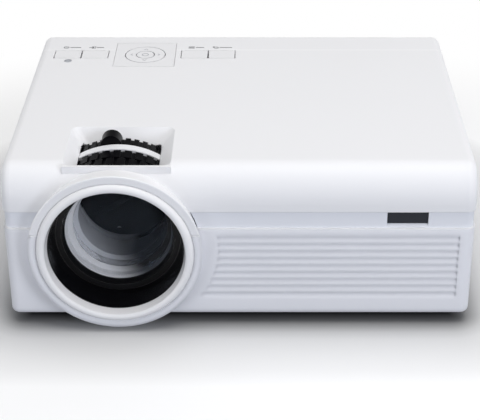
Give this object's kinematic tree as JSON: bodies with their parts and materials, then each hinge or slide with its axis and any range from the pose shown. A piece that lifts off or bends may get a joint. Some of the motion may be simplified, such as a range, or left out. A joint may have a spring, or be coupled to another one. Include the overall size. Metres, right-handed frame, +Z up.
{
  "type": "projector",
  "caption": "Flat box-shaped LED projector with a large lens ring at the front left, focus and keystone rings in a thumb pocket, flush keys on top and a ribbed front.",
  "frame": {"origin": "middle of the whole footprint, on the surface that the feet stand on", "axes": "+X to the right along the width, +Y from the lens towards the sockets, +Z up"},
  "size_m": [0.2, 0.1574, 0.0768],
  "materials": {
    "white_cover": "moulded, satin gloss",
    "band": "fine matt",
    "white_ring": "smooth gloss",
    "white_key": "satin",
    "black_gloss": "gloss",
    "black_matt": "matt",
    "lens_glass": "coated, polished",
    "satin_metal": "satin",
    "window": "dark, gloss",
    "mirror_face": "polished",
    "plate_lens": "finely ringed",
    "panel": "smooth",
    "bare_metal": "extruded",
    "foam": "open foam",
    "board": "solder mask",
    "socket": "plated",
    "light": "clear",
    "cone": "pulp",
    "rubber": "matt",
    "brass": "machined",
    "screw": "zinc",
    "silicone": "matt"
  },
  "bodies": {
    "housing": {"top_shell": "white_cover", "bottom_shell": "white_cover", "waist_band": "band", "lens_ring": "white_ring", "lens_shroud": "black_gloss", "lens_base": "white_ring", "ir_window": "window", "ir_receiver": "black_matt", "nav_panel": "white_key", "key_board": "board", "key_switches": "black_matt", "board_screws": "screw", "status_light": "light", "engine_housing": "black_matt", "engine_cover": "black_matt", "fresnel_lenses": "plate_lens", "lcd_panel": "panel", "condenser_lens": "lens_glass", "led_board": "bare_metal", "heat_sink": "bare_metal", "exhaust_frame": "black_matt", "intake_frame": "black_matt", "dust_filter": "foam", "main_board": "board", "power_board": "board", "hdmi_socket": "socket", "usb_socket": "socket", "round_jacks": "black_matt", "card_socket": "socket", "power_inlet": "black_matt", "speaker_frame": "black_matt", "speaker_cone": "cone", "rubber_feet": "rubber", "tripod_insert": "brass", "case_screws": "screw"},
    "focus_wheel": {"focus_wheel": "black_matt"},
    "focus_barrel": {"focus_barrel": "black_gloss", "guide_pins": "screw", "front_lens": "lens_glass", "lens_retainer": "satin_metal", "front_spacer": "black_matt", "middle_lens": "lens_glass", "rear_spacer": "black_matt", "rear_lens": "lens_glass"},
    "keystone_ring": {"keystone_ring": "black_matt"},
    "mirror": {"mirror_frame": "black_matt", "fold_mirror": "mirror_face"},
    "power_key": {"power_key": "white_key"},
    "source_key": {"source_key": "white_key"},
    "menu_key": {"menu_key": "white_key"},
    "back_key": {"back_key": "white_key"},
    "ok_key": {"ok_key": "white_key"},
    "nav_hub": {"nav_hub": "silicone"},
    "nav_ring": {"nav_ring": "white_key"},
    "exhaust_rotor": {"exhaust_rotor": "black_matt"},
    "intake_rotor": {"intake_rotor": "black_matt"},
    "foot_leg": {"foot_leg": "black_matt", "foot_friction_ring": "rubber", "foot_pad": "rubber"}
  },
  "joints": [
    {"name": "focus_turn", "type": "hinge", "parent": "housing", "child": "focus_wheel", "pos_m": [-0.0525, -0.0539, 0.039], "axis": [0, 1, 0], "range_deg": [-45, 45]},
    {"name": "focus_slide", "type": "slide", "parent": "housing", "child": "focus_barrel", "axis": [0, 1, 0], "range_m": [-0.00305, 0.00305]},
    {"name": "keystone_turn", "type": "hinge", "parent": "housing", "child": "keystone_ring", "pos_m": [-0.0525, -0.03815, 0.039], "axis": [0, 1, 0], "range_deg": [-9.4, 20.6]},
    {"name": "mirror_tilt", "type": "hinge", "parent": "housing", "child": "mirror", "pos_m": [-0.0525, 0.0077, 0.039], "axis": [0.7071, 0.7071, 0], "range_deg": [-2.1, 4.6]},
    {"name": "power_press", "type": "slide", "parent": "housing", "child": "power_key", "axis": [0, 0, -1], "range_m": [0, 0.0005], "stiffness_N_per_m": 1500},
    {"name": "source_press", "type": "slide", "parent": "housing", "child": "source_key", "axis": [0, 0, -1], "range_m": [0, 0.0005], "stiffness_N_per_m": 1500},
    {"name": "menu_press", "type": "slide", "parent": "housing", "child": "menu_key", "axis": [0, 0, -1], "range_m": [0, 0.0005], "stiffness_N_per_m": 1500},
    {"name": "back_press", "type": "slide", "parent": "housing", "child": "back_key", "axis": [0, 0, -1], "range_m": [0, 0.0005], "stiffness_N_per_m": 1500},
    {"name": "ok_press", "type": "slide", "parent": "housing", "child": "ok_key", "axis": [0, 0, -1], "range_m": [0, 0.0005], "stiffness_N_per_m": 1500},
    {"name": "nav_rock_sideways", "type": "hinge", "parent": "housing", "child": "nav_hub", "pos_m": [-0.0475, 0.053, 0.069], "axis": [0, 1, 0], "range_deg": [-2, 2], "stiffness_Nm_per_rad": 0.4},
    {"name": "nav_rock_lengthways", "type": "hinge", "parent": "nav_hub", "child": "nav_ring", "pos_m": [-0.0475, 0.053, 0.069], "axis": [1, 0, 0], "range_deg": [-2, 2], "stiffness_Nm_per_rad": 0.4},
    {"name": "exhaust_spin", "type": "hinge", "parent": "housing", "child": "exhaust_rotor", "pos_m": [0.0885, 0.0077, 0.039], "axis": [1, 0, 0], "continuous": true},
    {"name": "intake_spin", "type": "hinge", "parent": "housing", "child": "intake_rotor", "pos_m": [-0.0887, 0.0077, 0.039], "axis": [1, 0, 0], "continuous": true},
    {"name": "foot_extend", "type": "slide", "parent": "housing", "child": "foot_leg", "axis": [0, 0, -1], "range_m": [0, 0.01]}
  ],
  "couplings": [
    {"joint": "focus_slide", "follows": "focus_turn", "m_per_rad": -0.0038197},
    {"joint": "mirror_tilt", "follows": "keystone_turn", "ratio": 0.2}
  ]
}
